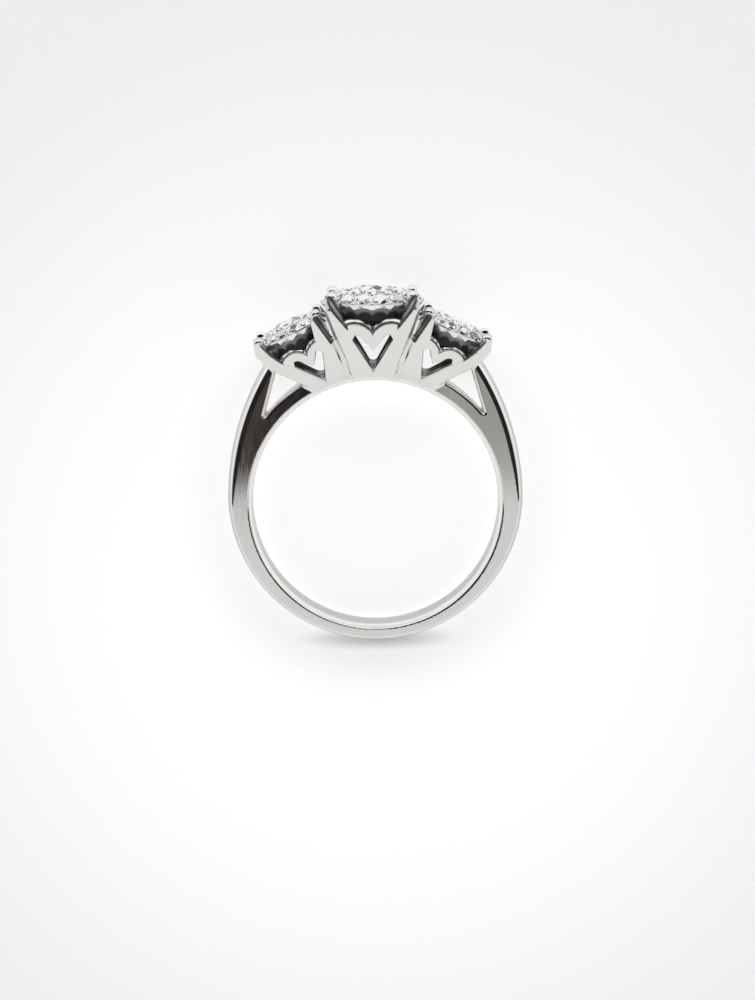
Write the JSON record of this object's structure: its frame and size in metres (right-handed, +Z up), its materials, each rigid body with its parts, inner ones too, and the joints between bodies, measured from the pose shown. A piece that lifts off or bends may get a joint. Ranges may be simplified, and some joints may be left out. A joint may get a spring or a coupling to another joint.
{
  "type": "three-stone cluster ring",
  "caption": "Finger ring with a split-shoulder shank and three square claw heads with pierced heart galleries, each holding a round domed cluster of brilliants.",
  "frame": {"origin": "middle of the ring's bounding box, on the surface that the ring lies on", "axes": "+Y from the bottom of the band towards the heads, +Z up from the surface that the ring lies on, +X across the heads, to the right for a viewer who looks down on the ring with the heads at the top"},
  "size_m": [0.0208, 0.0251, 0.0072],
  "materials": {
    "metal": "polished white gold",
    "stones": "faceted, colourless"
  },
  "bodies": {
    "root": {"mount": "metal", "centre_stone": "stones", "centre_inner_stones": "stones", "centre_outer_stones": "stones", "left_stone": "stones", "left_inner_stones": "stones", "left_outer_stones": "stones", "right_stone": "stones", "right_inner_stones": "stones", "right_outer_stones": "stones"}
  },
  "joints": []
}
